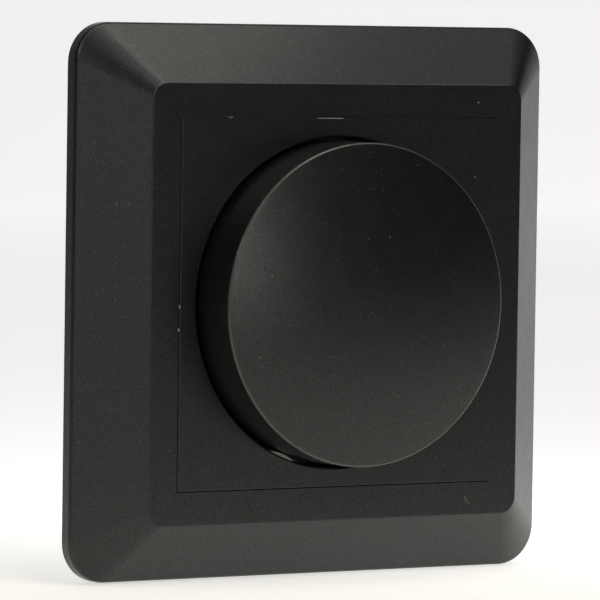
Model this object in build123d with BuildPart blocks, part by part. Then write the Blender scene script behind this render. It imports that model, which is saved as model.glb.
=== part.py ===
from build123d import *
import math
import os

os.makedirs("parts", exist_ok=True)

# Wall interface: screw spacing of the flush box and slots of the support frame
SCREW_SPACING = 60.0
SLOT_LENGTH = 6.8
SLOT_WIDTH = 3.6
SLOT_MARGIN = 2.1
SUPPORT_THICKNESS = 1.0
SUPPORT_CORNER = 5.0

# Surround frame: side band, bevel and flat front ring
FRAME_SIDE_ROOM = 3.5
FRAME_WALL = 2.0
FRAME_CORNER = 6.0
FRAME_BAND = 2.1
FRAME_SHOULDER = 0.9
FRONT = 9.8
RING_WIDTH = 4.8
RING_CORNER = 2.5
RING_CREASE = 0.35
SKIRT_WALL = 1.5
SKIRT_ROOM = 0.6
LEDGE_THICKNESS = 1.2
RIB_WIDTH = 1.2
RIB_OFFSET = 16.0
RIB_HEIGHT = 3.2

# Centre plate: flush square insert with the knob recess
PLATE_SIZE = 54.7
PLATE_CORNER = 0.4
PLATE_EDGE = 0.15
PLATE_GAP = 0.15
PLATE_MARGIN = 2.85
PLATE_FACE = 1.8
PLATE_SKIRT = 1.6
CUP_WALL = 1.5
CUP_FLOOR = 1.6
CUP_ROOM = 0.25
RECESS_EDGE = 0.35
PRY_LENGTH = 4.2
PRY_DEPTH = 0.28
PRY_OFFSET = 1.5

# Knob: cylinder with a slightly domed face and a rounded edge
RECESS_GAP = 0.6
KNOB_RISE = 8.0
KNOB_SINK = 1.8
KNOB_EDGE = 0.35
KNOB_DOME = 2.4
KNOB_TOP_WALL = 2.2
KNOB_SIDE_WALL = 2.0
KNOB_RIB_WIDTH = 1.2
KNOB_RIB_HEIGHT = 3.0
KNOB_RIB_COUNT = 6
HUB_WALL = 2.2
HUB_ROOM = 0.3
HUB_CLIP_WALL = 0.6
HUB_CLIP_HEIGHT = 3.0
PUSH_TRAVEL = 1.0

# Control shaft, bush and nut
SHAFT_RADIUS = 3.0
SHAFT_FLAT = 1.5
SHAFT_FIT = 0.05
TIP_ROOM = 0.3
BUSH_RADIUS = 5.0
BUSH_PROUD = 0.4
BUSH_FIT = 0.1
BUSH_FLANGE_RADIUS = 7.0
BUSH_FLANGE = 1.0
NUT_FLATS = 14.0
NUT_THICKNESS = 2.0
WASHER_THICKNESS = 0.5
WASHER_RADIUS = 8.0

# Inside of the control
CLIP_THICKNESS = 0.6
CLIP_RADIUS = 5.0
CLIP_ROOM = 0.5
GROOVE_RADIUS = 2.3
COLLAR_LENGTH = 0.5
KEY_RADIUS = 2.4
KEY_FLATS = 3.4
KEY_FIT = 0.1
ROTOR_RADIUS = 6.8
ROTOR_THICKNESS = 2.0
ROTOR_ROOM = 0.2
CASE_WALL = 1.5
STOP_REACH = 0.8
STOP_WIDTH = 7.6
LUG_WIDTH = 1.6
WIPER_THICKNESS = 0.3
WIPER_DIMPLE = 0.25
WIPER_WIDTH = 1.3
TRACK_THICKNESS = 0.1
TRACK_MIDDLE = 6.0
TRACK_WIDTH = 1.6
TRACK_BREAK = 6.0
WAFER_THICKNESS = 1.0
WAFER_BORE = 3.4
PLUNGER_RADIUS = 5.6
PLUNGER_FLANGE = 1.0
PLUNGER_STEM = 1.8
PLUNGER_FIT = 0.15
STEM_ROOM = 0.2
BRIDGE_THICKNESS = 0.3
BRIDGE_WIDTH = 2.2
CONTACT_GAP = 0.05
CONTACT_RADIUS = 0.9
CONTACT_SPREAD = 4.4
SPRING_WIRE = 0.2
SPRING_RADIUS = 2.5
SPRING_TURNS = 3
SPRING_LENGTH = 3.0
BASE_WALL = 1.0
PIN_RADIUS = 0.4
PIN_FIT = 0.1
PIN_CIRCLE = 7.2
PIN_COUNT = 3
PIN_STEP = 18.0
PIN_TAIL = 1.0

# Insert housing behind the support frame
HOUSING_SIZE = 47.6
HOUSING_ROOM = 0.3
HOUSING_WALL = 2.3
HOUSING_FRONT = 1.8
HOUSING_BACK = 1.8
EAR_THICKNESS = 1.4
EAR_WIDTH = 9.0
EAR_CORNER = 2.0
EAR_END = 3.0
EAR_SCREW_OFFSET = 3.6
PIP_RADIUS = 1.5
PIP_HEIGHT = 1.2
PIP_SPREAD = 15.0
PIP_FIT = 0.15
POST_RADIUS = 2.7
POST_SINK = 0.4
SCREW_RADIUS = 1.2
SCREW_FIT = 0.1
SCREW_HEAD_RADIUS = 2.2
SCREW_HEAD = 1.3
SCREW_SLOT = 0.6
SCREW_BITE = 7.0

# Circuit board and its components
BOARD_THICKNESS = 1.6
BOARD_INSET = 1.75
BOARD_ROOM = 0.15
BOARD_LEDGE = 0.75
BACK_ROOM = 0.5
TRANSISTOR_GAP = 1.4
TRANSISTOR_ROOM = 1.6
TRANSISTOR_LENGTH = 10.0
TRANSISTOR_HEIGHT = 4.4
LEAD_WIDTH = 1.0
LEAD_LENGTH = 2.4
LEAD_HEIGHT = 0.6
SPREADER_THICKNESS = 1.5
SPREADER_WIDTH = 22.4
SPREADER_ROOM = 0.5
CHOKE_SECTION = 3.2
CHOKE_HEIGHT = 5.8
WIRE = 0.8
WIRE_ROOM = 0.05
TURN_COUNT = 14
FILM_HEIGHT = 8.8
FILM_CORNER = 0.8
FILM_GAP = 0.5
CAN_RADIUS = 3.15
CAN_HEIGHT = 8.9
CAN_EDGE = 0.4
CAN_OFFSET = 2.0
CAN_ROOM = 1.6
CHIP_LENGTH = 8.7
CHIP_WIDTH = 3.9
CHIP_HEIGHT = 1.5
CHIP_PITCH = 1.27
CHIP_LEAD = 0.4
CHIP_SIDE_LEADS = 6
FUSE_RADIUS = 2.4
FUSE_LENGTH = 20.0
FUSE_CAP = 5.0
FUSE_CAP_WALL = 0.2
FUSE_GAP = 3.4
FUSE_RISE = 4.2
HOLDER_WALL = 0.5
HOLDER_LENGTH = 3.6
HOLDER_FIT = 0.02

# Wire terminals
TERMINAL_COUNT = 3
CAGE_GAP = 1.6
CAGE_ROOM = 1.0
CAGE_DEPTH = 7.0
ENTRY_WIDTH = 3.8
ENTRY_HEIGHT = 3.6
ENTRY_DEPTH = 7.0
CLAMP_RADIUS = 1.5
CLAMP_FIT = 0.05
CLAMP_HEAD_RADIUS = 2.5
CLAMP_HEAD = 1.8
CLAMP_ROOM = 0.3
CLAMP_SLOT = 0.8

# Outlines that follow from the sizes above
support_size = SCREW_SPACING + SLOT_LENGTH + 2 * SLOT_MARGIN
frame_size = support_size + 2 * (FRAME_SIDE_ROOM + FRAME_WALL)
opening = PLATE_SIZE + 2 * PLATE_GAP
ring_size = opening + 2 * RING_WIDTH
recess_radius = PLATE_SIZE / 2 - PLATE_MARGIN
knob_radius = recess_radius - RECESS_GAP
cup_radius = recess_radius + CUP_WALL
ledge_opening = 2 * (cup_radius + CUP_ROOM)
housing_corner = HOUSING_SIZE / 4
ear_base = (HOUSING_SIZE - housing_corner) / math.sqrt(2)
ear_screw = max(ear_base + EAR_SCREW_OFFSET, cup_radius + SCREW_HEAD_RADIUS + CUP_ROOM)
ear_length = ear_screw + EAR_END - ear_base
chamber_radius = ROTOR_RADIUS + STOP_REACH + ROTOR_ROOM
wafer_radius = chamber_radius + ROTOR_ROOM
case_radius = wafer_radius + CASE_WALL
hub_radius = SHAFT_RADIUS + HUB_WALL
cap_radius = FUSE_RADIUS + FUSE_CAP_WALL

# Layout of the insert: screw posts in two corners, components from the walls inward
post_offset = (ear_base - HOUSING_WALL - POST_RADIUS + POST_SINK) / math.sqrt(2)
post_spots = [(-post_offset, post_offset), (post_offset, -post_offset)]
front_half = HOUSING_SIZE / 2 - HOUSING_WALL
rear_inset = BOARD_INSET + BOARD_LEDGE
rear_half = HOUSING_SIZE / 2 - rear_inset
transistor_edge = front_half - TRANSISTOR_ROOM
transistor_width = transistor_edge - case_radius - TRANSISTOR_GAP
transistor_offset = transistor_edge - transistor_width / 2
chip_z = (front_half + case_radius) / 2
choke_x = 7 * rear_half / 15
choke_z = 2 * rear_half / 5
choke_outer = rear_half / 3
choke_inner = choke_outer - CHOKE_SECTION
film_length = 3 * rear_half / 5
film_width = 2 * rear_half / 5
film_x = -rear_half / 4 - film_length / 2
film_z = film_width / 2 + FILM_GAP
can_z = rear_half - CAN_RADIUS - CAN_ROOM
fuse_z = -cap_radius - HOLDER_WALL - FUSE_GAP
terminal_pitch = 3 * rear_half / 8
terminal_z = CAGE_ROOM + CAGE_DEPTH / 2 - rear_half
cage_width = terminal_pitch - CAGE_GAP

# Heights in front of the wall, negative inside the flush box
insert_front = SUPPORT_THICKNESS + EAR_THICKNESS
floor_top = insert_front + CUP_FLOOR
ledge_bottom = insert_front + SKIRT_ROOM
ledge_top = ledge_bottom + LEDGE_THICKNESS
nut_bottom = floor_top + WASHER_THICKNESS
bush_top = nut_bottom + NUT_THICKNESS + BUSH_PROUD
knob_rim = FRONT + KNOB_RISE
knob_bottom = FRONT - KNOB_SINK
knob_ceiling = knob_rim + KNOB_DOME - KNOB_TOP_WALL
hub_bottom = bush_top + PUSH_TRAVEL + HUB_ROOM
shaft_tip = knob_ceiling - TIP_ROOM
housing_inside = insert_front - HOUSING_FRONT
bush_rear = housing_inside - BUSH_FLANGE
clip_rear = bush_rear - CLIP_THICKNESS
collar_rear = clip_rear - COLLAR_LENGTH
rotor_front = collar_rear - PUSH_TRAVEL - ROTOR_ROOM
rotor_rear = rotor_front - ROTOR_THICKNESS
wiper_rear = rotor_rear - WIPER_THICKNESS
track_front = wiper_rear - WIPER_DIMPLE
wafer_front = track_front - TRACK_THICKNESS
wafer_rear = wafer_front - WAFER_THICKNESS
flange_rear = wafer_rear - PLUNGER_FLANGE
bridge_rear = flange_rear - BRIDGE_THICKNESS
contact_front = bridge_rear - PUSH_TRAVEL - CONTACT_GAP
base_inside = flange_rear - SPRING_LENGTH
board_front = base_inside - BASE_WALL
board_rear = board_front - BOARD_THICKNESS
transistor_front = board_front + TRANSISTOR_HEIGHT
component_room = max(FILM_HEIGHT, CAN_HEIGHT) + BACK_ROOM
back_inside = board_rear - component_room
back = back_inside - HOUSING_BACK
pin_end = board_rear - PIN_TAIL
fuse_level = board_rear - FUSE_RISE
clamp_level = back_inside + ENTRY_DEPTH / 2
choke_front = board_rear - WIRE - 2 * WIRE_ROOM

# Half section of a turned piece: radius across, height in front of the wall upward
SECTION = Plane(origin=(0, 0, 0), x_dir=(1, 0, 0), z_dir=(0, 0, -1))


def level(height):
    return Plane.XZ.offset(height)


def body_outline(inset):
    Rectangle(HOUSING_SIZE - 2 * inset, HOUSING_SIZE - 2 * inset)
    chamfer(vertices(), housing_corner - inset * (2 - math.sqrt(2)))


# Hollow behind the bevel of the surround frame, without the inner skirt and the ribs
bevel_width = (frame_size - ring_size) / 2
bevel_rise = FRONT - FRAME_BAND
wall_shift = FRAME_WALL * math.hypot(bevel_width, bevel_rise) / bevel_rise
hollow_side = frame_size - 2 * FRAME_WALL
hollow_turn = FRAME_BAND - (wall_shift - FRAME_WALL) * bevel_rise / bevel_width
hollow_top = FRONT - FRAME_WALL
hollow_end = frame_size - 2 * wall_shift - 2 * (hollow_top - FRAME_BAND) * bevel_width / bevel_rise
rib_place = frame_size / 2 - bevel_width
skirt_size = opening + 2 * SKIRT_WALL

with BuildPart() as frame_hollow:
    with BuildSketch(level(0)):
        RectangleRounded(hollow_side, hollow_side, FRAME_CORNER - FRAME_WALL)
    extrude(amount=hollow_turn)
    with BuildSketch(level(hollow_turn)):
        RectangleRounded(hollow_side, hollow_side, FRAME_CORNER - FRAME_WALL)
    with BuildSketch(level(hollow_top)):
        RectangleRounded(hollow_end, hollow_end, RING_CORNER)
    loft(ruled=True)
    with BuildSketch(level(ledge_bottom)):
        RectangleRounded(skirt_size, skirt_size, RING_CORNER)
    extrude(amount=hollow_top - ledge_bottom, mode=Mode.SUBTRACT)
    with BuildSketch(level(hollow_top - RIB_HEIGHT)):
        with PolarLocations(0, 4):
            with Locations((rib_place, RIB_OFFSET), (rib_place, -RIB_OFFSET)):
                Rectangle(2 * bevel_width, RIB_WIDTH)
    extrude(amount=RIB_HEIGHT, mode=Mode.SUBTRACT)

# Surround frame
with BuildPart() as surround_frame:
    with BuildSketch(level(0)):
        RectangleRounded(frame_size, frame_size, FRAME_CORNER)
    extrude(amount=FRAME_BAND)
    with BuildSketch(level(FRAME_BAND)):
        RectangleRounded(frame_size, frame_size, FRAME_CORNER)
    with BuildSketch(level(FRONT)):
        RectangleRounded(ring_size, ring_size, RING_CORNER)
    loft(ruled=True)
    fillet(edges().filter_by_position(Axis.Y, -FRAME_BAND, -FRAME_BAND), FRAME_SHOULDER)
    fillet(edges().filter_by_position(Axis.Y, -FRONT, -FRONT), RING_CREASE)
    with BuildSketch(level(ledge_top)):
        RectangleRounded(opening, opening, PLATE_CORNER + PLATE_GAP)
    extrude(amount=FRONT - ledge_top, mode=Mode.SUBTRACT)
    add(frame_hollow.part, mode=Mode.SUBTRACT)
    with BuildSketch(level(ledge_bottom)):
        RectangleRounded(ledge_opening, ledge_opening, PLATE_CORNER)
    extrude(amount=LEDGE_THICKNESS, mode=Mode.SUBTRACT)
surround_frame.part.label = "surround_frame"
export_step(surround_frame.part, "parts/surround_frame.step")

# Centre plate with the round recess and the cup that stands on the insert
with BuildPart() as centre_plate:
    with BuildSketch(level(ledge_top)):
        RectangleRounded(PLATE_SIZE, PLATE_SIZE, PLATE_CORNER)
    extrude(amount=FRONT - ledge_top)
    fillet(faces().sort_by(Axis.Y)[0].edges(), PLATE_EDGE)
    with BuildSketch(level(ledge_top)):
        Rectangle(PLATE_SIZE - 2 * PLATE_SKIRT, PLATE_SIZE - 2 * PLATE_SKIRT)
        Circle(cup_radius, mode=Mode.SUBTRACT)
    extrude(amount=FRONT - PLATE_FACE - ledge_top, mode=Mode.SUBTRACT)
    with BuildSketch(level(insert_front)):
        Circle(cup_radius)
    extrude(amount=ledge_top - insert_front)
    with BuildSketch(level(floor_top)):
        Circle(recess_radius)
    extrude(amount=FRONT - floor_top, mode=Mode.SUBTRACT)
    front_edges = edges().filter_by(GeomType.CIRCLE).filter_by_position(Axis.Y, -FRONT, -FRONT)
    fillet(front_edges.sort_by(SortBy.RADIUS)[-1], RECESS_EDGE)
    with BuildSketch(level(insert_front)):
        Circle(BUSH_RADIUS + BUSH_FIT)
        with Locations((PIP_SPREAD, 0), (-PIP_SPREAD, 0)):
            Circle(PIP_RADIUS + PIP_FIT)
    extrude(amount=CUP_FLOOR, mode=Mode.SUBTRACT)
    pry_place = Plane(
        origin=(-PRY_OFFSET, -FRONT, PLATE_SIZE / 2), x_dir=(0, 1, 0), z_dir=(1, 0, 0)
    )
    with BuildSketch(pry_place):
        Polygon(
            (-PRY_DEPTH, -2 * PRY_DEPTH),
            (2 * PRY_DEPTH, PRY_DEPTH),
            (-PRY_DEPTH, PRY_DEPTH),
            align=None,
        )
    extrude(amount=PRY_LENGTH / 2, both=True, mode=Mode.SUBTRACT)
centre_plate.part.label = "centre_plate"
export_step(centre_plate.part, "parts/centre_plate.step")

# Room under the knob, round the hub and between the ribs
with BuildPart() as knob_hollow:
    with BuildSketch(SECTION):
        with BuildLine():
            ceiling_end = (knob_radius - KNOB_SIDE_WALL, knob_rim - KNOB_TOP_WALL)
            TangentArc((0, knob_ceiling), ceiling_end, tangent=(1, 0))
            Polyline(
                ceiling_end,
                (knob_radius - KNOB_SIDE_WALL, knob_bottom),
                (0, knob_bottom),
                (0, knob_ceiling),
            )
        make_face()
    revolve(axis=Axis.Y)
    with BuildSketch(level(knob_ceiling - KNOB_RIB_HEIGHT)):
        with PolarLocations(knob_radius / 2, KNOB_RIB_COUNT):
            Rectangle(knob_radius, KNOB_RIB_WIDTH)
    extrude(amount=KNOB_RIB_HEIGHT, mode=Mode.SUBTRACT)
    with BuildSketch(level(hub_bottom)):
        Circle(hub_radius)
    extrude(amount=knob_ceiling - hub_bottom, mode=Mode.SUBTRACT)

# Knob: domed cap with hub, ribs and a D bore
with BuildPart() as knob:
    with BuildSketch(SECTION):
        with BuildLine():
            face_end = (knob_radius, knob_rim)
            TangentArc((0, knob_rim + KNOB_DOME), face_end, tangent=(1, 0))
            Polyline(
                face_end,
                (knob_radius, knob_bottom),
                (0, knob_bottom),
                (0, knob_rim + KNOB_DOME),
            )
        make_face()
        fillet(vertices().group_by(Axis.X)[-1].sort_by(Axis.Y)[-1], KNOB_EDGE)
    revolve(axis=Axis.Y)
    add(knob_hollow.part, mode=Mode.SUBTRACT)
    with BuildSketch(level(hub_bottom)):
        Circle(SHAFT_RADIUS + SHAFT_FIT)
        with Locations((0, SHAFT_FLAT + SHAFT_FIT + SHAFT_RADIUS)):
            Rectangle(4 * SHAFT_RADIUS, 2 * SHAFT_RADIUS, mode=Mode.SUBTRACT)
    extrude(amount=knob_ceiling - hub_bottom, mode=Mode.SUBTRACT)
knob.part.label = "knob"
export_step(knob.part, "parts/knob.step")

# Spring ring on the hub of the knob
with BuildPart() as knob_clip:
    with BuildSketch(level(hub_bottom + HUB_ROOM)):
        Circle(hub_radius + HUB_CLIP_WALL)
        Circle(hub_radius, mode=Mode.SUBTRACT)
        with Locations((0, hub_radius)):
            Rectangle(hub_radius, hub_radius, mode=Mode.SUBTRACT)
    extrude(amount=HUB_CLIP_HEIGHT)
knob_clip.part.label = "knob_clip"
export_step(knob_clip.part, "parts/knob_clip.step")

# Washer and nut on the bush
with BuildPart() as bush_washer:
    with BuildSketch(level(floor_top)):
        Circle(WASHER_RADIUS)
        Circle(BUSH_RADIUS + BUSH_FIT, mode=Mode.SUBTRACT)
    extrude(amount=WASHER_THICKNESS)
bush_washer.part.label = "bush_washer"
export_step(bush_washer.part, "parts/bush_washer.step")

with BuildPart() as bush_nut:
    with BuildSketch(level(nut_bottom)):
        RegularPolygon(NUT_FLATS / 2, 6, major_radius=False)
        Circle(BUSH_RADIUS + SHAFT_FIT, mode=Mode.SUBTRACT)
    extrude(amount=NUT_THICKNESS)
bush_nut.part.label = "bush_nut"
export_step(bush_nut.part, "parts/bush_nut.step")

# Threaded bush with its flange behind the front wall of the housing
with BuildPart() as bush:
    with BuildSketch(level(bush_rear)):
        Circle(BUSH_FLANGE_RADIUS)
    extrude(amount=BUSH_FLANGE)
    with BuildSketch(level(housing_inside)):
        Circle(BUSH_RADIUS)
    extrude(amount=bush_top - housing_inside)
    chamfer(edges().filter_by(GeomType.CIRCLE).sort_by(Axis.Y)[0], BUSH_PROUD)
    with BuildSketch(level(bush_rear)):
        Circle(SHAFT_RADIUS + SHAFT_FIT)
    extrude(amount=bush_top - bush_rear, mode=Mode.SUBTRACT)
bush.part.label = "bush"
export_step(bush.part, "parts/bush.step")

# Shaft: D end in the knob, groove for the clip, double flat key in the rotor
with BuildPart() as shaft:
    with BuildSketch(level(clip_rear - COLLAR_LENGTH)):
        Circle(SHAFT_RADIUS)
    extrude(amount=shaft_tip - collar_rear)
    with BuildSketch(level(hub_bottom - HUB_ROOM / 2)):
        with Locations((0, SHAFT_FLAT + SHAFT_RADIUS)):
            Rectangle(4 * SHAFT_RADIUS, 2 * SHAFT_RADIUS)
    extrude(amount=shaft_tip - hub_bottom + HUB_ROOM / 2, mode=Mode.SUBTRACT)
    with BuildSketch(level(clip_rear)):
        Circle(2 * SHAFT_RADIUS)
        Circle(GROOVE_RADIUS, mode=Mode.SUBTRACT)
    extrude(amount=CLIP_THICKNESS, mode=Mode.SUBTRACT)
    with BuildSketch(level(wafer_rear)):
        Circle(KEY_RADIUS)
        Rectangle(2 * KEY_RADIUS, KEY_FLATS, mode=Mode.INTERSECT)
    extrude(amount=collar_rear - wafer_rear)
shaft.part.label = "shaft"
export_step(shaft.part, "parts/shaft.step")

# Retaining clip in the groove of the shaft
with BuildPart() as shaft_clip:
    with BuildSketch(level(clip_rear)):
        Circle(CLIP_RADIUS)
        Circle(GROOVE_RADIUS + SHAFT_FIT, mode=Mode.SUBTRACT)
        with Locations((0, -CLIP_RADIUS / 2)):
            Rectangle(2 * GROOVE_RADIUS - CLIP_ROOM, CLIP_RADIUS, mode=Mode.SUBTRACT)
    extrude(amount=CLIP_THICKNESS)
shaft_clip.part.label = "shaft_clip"
export_step(shaft_clip.part, "parts/shaft_clip.step")

# Front cup of the control with the stop for the rotor
with BuildPart() as pot_case:
    with BuildSketch(level(wafer_rear)):
        Circle(case_radius)
    extrude(amount=bush_rear - wafer_rear)
    with BuildSketch(level(rotor_front)):
        Circle(CLIP_RADIUS + CLIP_ROOM)
    extrude(amount=bush_rear - rotor_front, mode=Mode.SUBTRACT)
    with BuildSketch(level(wafer_front)):
        Circle(chamber_radius)
        with Locations((0, -ROTOR_RADIUS - ROTOR_ROOM - CASE_WALL)):
            Rectangle(STOP_WIDTH, 2 * CASE_WALL, mode=Mode.SUBTRACT)
    extrude(amount=rotor_front + ROTOR_ROOM / 2 - wafer_front, mode=Mode.SUBTRACT)
    with BuildSketch(level(wafer_rear)):
        Circle(wafer_radius)
    extrude(amount=WAFER_THICKNESS, mode=Mode.SUBTRACT)
pot_case.part.label = "pot_case"
export_step(pot_case.part, "parts/pot_case.step")

# Rotor with its stop lug and the keyed bore
with BuildPart() as rotor:
    with BuildSketch(level(rotor_rear)):
        Circle(ROTOR_RADIUS)
        with Locations((0, ROTOR_RADIUS)):
            Rectangle(LUG_WIDTH, 2 * STOP_REACH)
        with BuildSketch(mode=Mode.PRIVATE) as key_bore:
            Circle(KEY_RADIUS + KEY_FIT)
            Rectangle(4 * KEY_RADIUS, KEY_FLATS + 2 * KEY_FIT, mode=Mode.INTERSECT)
        add(key_bore.sketch, mode=Mode.SUBTRACT)
    extrude(amount=ROTOR_THICKNESS)
rotor.part.label = "rotor"
export_step(rotor.part, "parts/rotor.step")

# Contact spring on the rotor, its dimple on the track
wiper_bore = KEY_RADIUS + KEY_FIT + ROTOR_ROOM
wiper_reach = TRACK_MIDDLE - wiper_bore
with BuildPart() as wiper:
    with BuildSketch(level(wiper_rear)):
        Circle(wiper_bore + WIPER_WIDTH)
        Circle(wiper_bore, mode=Mode.SUBTRACT)
        with Locations((0, TRACK_MIDDLE - wiper_reach / 2 + WIPER_WIDTH / 2)):
            Rectangle(WIPER_WIDTH, wiper_reach)
    extrude(amount=WIPER_THICKNESS)
    with BuildSketch(level(track_front)):
        with Locations((0, TRACK_MIDDLE)):
            Circle(WIPER_WIDTH / 3)
    extrude(amount=WIPER_DIMPLE)
wiper.part.label = "wiper"
export_step(wiper.part, "parts/wiper.step")

# Printed track and the wafer that carries it
with BuildPart() as resistive_track:
    with BuildSketch(level(wafer_front)):
        Circle(TRACK_MIDDLE + TRACK_WIDTH / 2)
        Circle(TRACK_MIDDLE - TRACK_WIDTH / 2, mode=Mode.SUBTRACT)
        with Locations((0, -TRACK_MIDDLE)):
            Rectangle(TRACK_BREAK, 2 * TRACK_WIDTH, mode=Mode.SUBTRACT)
    extrude(amount=TRACK_THICKNESS)
resistive_track.part.label = "resistive_track"
export_step(resistive_track.part, "parts/resistive_track.step")

with BuildPart() as track_wafer:
    with BuildSketch(level(wafer_rear)):
        Circle(wafer_radius - SHAFT_FIT)
        Circle(WAFER_BORE, mode=Mode.SUBTRACT)
    extrude(amount=WAFER_THICKNESS)
track_wafer.part.label = "track_wafer"
export_step(track_wafer.part, "parts/track_wafer.step")

# Rear cup of the control with the push switch
with BuildPart() as pot_base:
    with BuildSketch(level(board_front)):
        Circle(case_radius)
    extrude(amount=wafer_rear - board_front)
    with BuildSketch(level(base_inside)):
        Circle(PLUNGER_RADIUS + PLUNGER_FIT)
    extrude(amount=wafer_rear - base_inside, mode=Mode.SUBTRACT)
    with BuildSketch(level(board_front)):
        with PolarLocations(PIN_CIRCLE, PIN_COUNT, 270 - PIN_STEP, PIN_COUNT * PIN_STEP):
            Circle(PIN_RADIUS + PIN_FIT)
        with Locations((CONTACT_SPREAD, 0), (-CONTACT_SPREAD, 0)):
            Circle(PIN_RADIUS + PIN_FIT)
    extrude(amount=wafer_rear - board_front, mode=Mode.SUBTRACT)
pot_base.part.label = "pot_base"
export_step(pot_base.part, "parts/pot_base.step")

# Plunger of the push switch, its ring contact and its return spring
with BuildPart() as push_plunger:
    with BuildSketch(level(flange_rear)):
        Circle(PLUNGER_RADIUS)
    extrude(amount=PLUNGER_FLANGE)
    with BuildSketch(level(base_inside + PUSH_TRAVEL + STEM_ROOM)):
        Circle(PLUNGER_STEM)
    extrude(amount=flange_rear - base_inside - PUSH_TRAVEL - STEM_ROOM)
push_plunger.part.label = "push_plunger"
export_step(push_plunger.part, "parts/push_plunger.step")

with BuildPart() as contact_bridge:
    with BuildSketch(level(bridge_rear)):
        Circle(PLUNGER_RADIUS - PLUNGER_FIT)
        Circle(PLUNGER_RADIUS - PLUNGER_FIT - BRIDGE_WIDTH, mode=Mode.SUBTRACT)
    extrude(amount=BRIDGE_THICKNESS)
contact_bridge.part.label = "contact_bridge"
export_step(contact_bridge.part, "parts/contact_bridge.step")

coil_height = SPRING_LENGTH - 2 * SPRING_WIRE
with BuildPart() as return_spring:
    with BuildLine() as coil:
        Helix(
            pitch=coil_height / SPRING_TURNS,
            height=coil_height,
            radius=SPRING_RADIUS,
            center=(0, SPRING_WIRE - flange_rear, 0),
            direction=(0, 1, 0),
        )
    with BuildSketch(Plane(origin=coil.line @ 0, z_dir=coil.line % 0)):
        Circle(SPRING_WIRE)
    sweep(is_frenet=True)
return_spring.part.label = "return_spring"
export_step(return_spring.part, "parts/return_spring.step")

# Fixed contacts of the push switch and the pins of the control
with BuildPart() as fixed_contacts:
    with BuildSketch(level(base_inside)):
        with Locations((CONTACT_SPREAD, 0), (-CONTACT_SPREAD, 0)):
            Circle(CONTACT_RADIUS)
    extrude(amount=contact_front - base_inside)
    with BuildSketch(level(pin_end)):
        with Locations((CONTACT_SPREAD, 0), (-CONTACT_SPREAD, 0)):
            Circle(PIN_RADIUS)
    extrude(amount=base_inside - pin_end)
fixed_contacts.part.label = "fixed_contacts"
export_step(fixed_contacts.part, "parts/fixed_contacts.step")

with BuildPart() as pot_pins:
    with BuildSketch(level(pin_end)):
        with PolarLocations(PIN_CIRCLE, PIN_COUNT, 270 - PIN_STEP, PIN_COUNT * PIN_STEP):
            Circle(PIN_RADIUS)
    extrude(amount=wafer_rear - pin_end)
pot_pins.part.label = "pot_pins"
export_step(pot_pins.part, "parts/pot_pins.step")

# Steel support frame with radial slots for the box screws
with BuildPart() as support_frame:
    with BuildSketch(level(0)):
        RectangleRounded(support_size, support_size, SUPPORT_CORNER)
        with BuildSketch(mode=Mode.PRIVATE) as body_hole:
            body_outline(-HOUSING_ROOM)
        add(body_hole.sketch, mode=Mode.SUBTRACT)
        with PolarLocations(SCREW_SPACING / 2, 4):
            SlotOverall(SLOT_LENGTH, SLOT_WIDTH, mode=Mode.SUBTRACT)
        with PolarLocations(ear_screw, 4, 45):
            Circle(SCREW_RADIUS + SHAFT_FIT, mode=Mode.SUBTRACT)
    extrude(amount=SUPPORT_THICKNESS)
support_frame.part.label = "support_frame"
export_step(support_frame.part, "parts/support_frame.step")

# Screws that hold the insert on the support frame
with BuildPart() as support_screws:
    with BuildSketch(level(insert_front)):
        with PolarLocations(ear_screw, 4, 45):
            Circle(SCREW_HEAD_RADIUS)
    extrude(amount=SCREW_HEAD)
    with BuildSketch(level(0)):
        with PolarLocations(ear_screw, 4, 45):
            Circle(SCREW_RADIUS)
    extrude(amount=insert_front)
    with BuildSketch(level(insert_front + SCREW_HEAD / 2)):
        with PolarLocations(ear_screw, 4, 45):
            Rectangle(2 * SCREW_HEAD_RADIUS, SCREW_SLOT)
    extrude(amount=SCREW_HEAD, mode=Mode.SUBTRACT)
support_screws.part.label = "support_screws"
export_step(support_screws.part, "parts/support_screws.step")

# Front half of the insert: wall for the bush, ears, pips and screw posts
with BuildPart() as front_housing:
    with BuildSketch(level(board_front)):
        body_outline(0)
    extrude(amount=insert_front - board_front)
    with BuildSketch(level(board_front)):
        body_outline(HOUSING_WALL)
        with Locations(*post_spots):
            Circle(POST_RADIUS, mode=Mode.SUBTRACT)
    extrude(amount=housing_inside - board_front, mode=Mode.SUBTRACT)
    with BuildSketch(level(SUPPORT_THICKNESS)):
        with PolarLocations(ear_base, 4, 45):
            RectangleRounded(2 * ear_length, EAR_WIDTH, EAR_CORNER)
    extrude(amount=EAR_THICKNESS)
    with BuildSketch(level(insert_front)):
        with Locations((PIP_SPREAD, 0), (-PIP_SPREAD, 0)):
            Circle(PIP_RADIUS)
    extrude(amount=PIP_HEIGHT)
    with BuildSketch(level(housing_inside)):
        Circle(BUSH_RADIUS + BUSH_FIT)
        with PolarLocations(ear_screw, 4, 45):
            Circle(SCREW_RADIUS + SCREW_FIT)
    extrude(amount=HOUSING_FRONT, mode=Mode.SUBTRACT)
    with BuildSketch(level(board_front)):
        with Locations(*post_spots):
            Circle(SCREW_RADIUS + SCREW_FIT)
    extrude(amount=SCREW_BITE + SCREW_FIT, mode=Mode.SUBTRACT)
front_housing.part.label = "front_housing"
export_step(front_housing.part, "parts/front_housing.step")

# Rear half of the insert: board rebate, wire entries and screw access
first_terminal = -(TERMINAL_COUNT - 1) * terminal_pitch / 2
terminal_spots = [(first_terminal + i * terminal_pitch, terminal_z) for i in range(TERMINAL_COUNT)]
clamp_spots = [(x, -clamp_level) for x, z in terminal_spots]
cage_bottom = terminal_z - CAGE_DEPTH / 2
entry_bottom = terminal_z - ENTRY_HEIGHT / 2

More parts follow.
